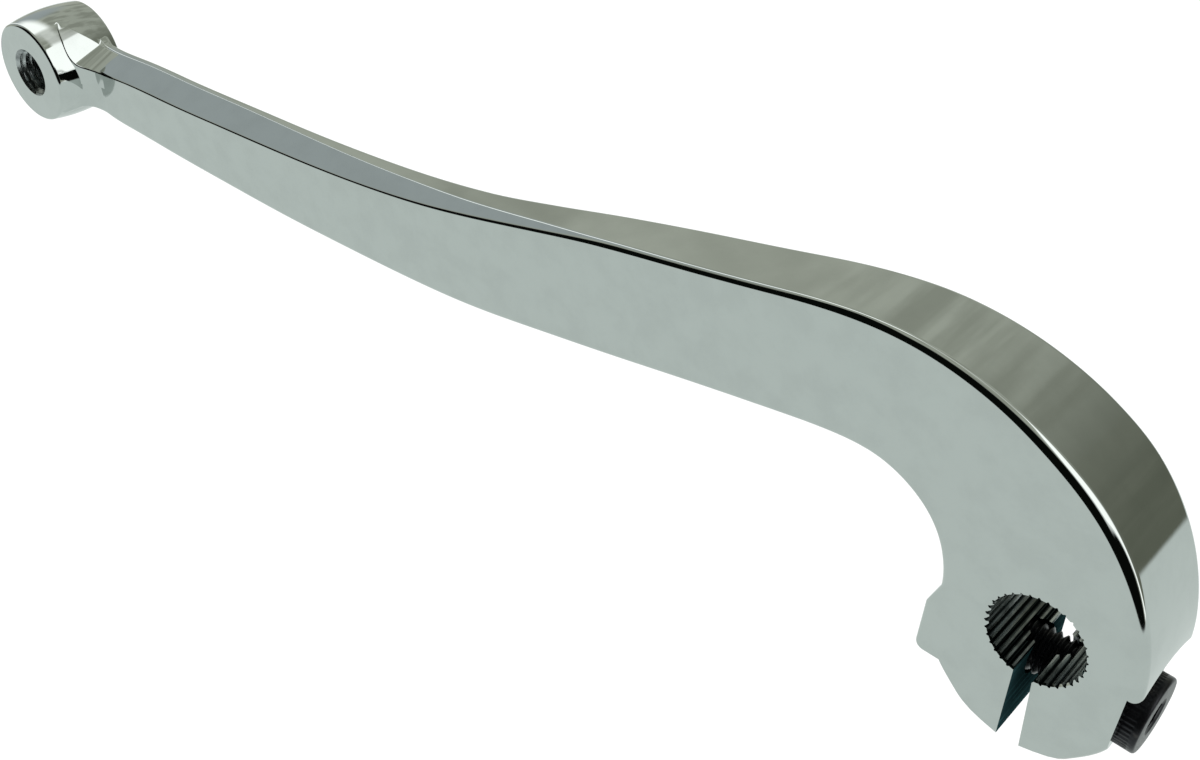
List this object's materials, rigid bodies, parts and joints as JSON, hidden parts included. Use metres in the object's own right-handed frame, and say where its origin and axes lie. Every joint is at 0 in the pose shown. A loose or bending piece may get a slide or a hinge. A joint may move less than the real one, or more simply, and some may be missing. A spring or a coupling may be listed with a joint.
{
  "type": "splined clamp foot lever",
  "caption": "Chrome-plated motorcycle foot lever: splined split clamp with pinch bolt and lock washer at one end, threaded cross barrel at the other.",
  "frame": {"origin": "middle of the splined bore, on its axis, half way through the clamp", "axes": "+Y along the bore from the show face to the back face; the arm runs towards -X to the cross barrel; +Z is the side that the arm humps up to"},
  "size_m": [0.2683, 0.025, 0.0621],
  "materials": {
    "chrome_plate": "mirror-polished chrome plate",
    "black_oxide": "black oxide, satin",
    "zinc_spring_steel": "zinc-plated spring steel, satin"
  },
  "bodies": {
    "lever": {"lever_arm": "chrome_plate"},
    "washer_carrier": {"lock_washer": "zinc_spring_steel"},
    "bolt": {"pinch_bolt": "black_oxide"}
  },
  "joints": [
    {"name": "pinch_bolt_travel", "type": "slide", "parent": "lever", "child": "washer_carrier", "axis": [1, 0, 0], "range_m": [0, 0.0152]},
    {"name": "pinch_bolt_turn", "type": "hinge", "parent": "washer_carrier", "child": "bolt", "pos_m": [0.0127, 0.0005, -0.011], "axis": [1, 0, 0], "range_deg": [0, 4320]}
  ],
  "couplings": [
    {"joint": "pinch_bolt_travel", "follows": "pinch_bolt_turn", "m_per_rad": 0.00019894}
  ]
}
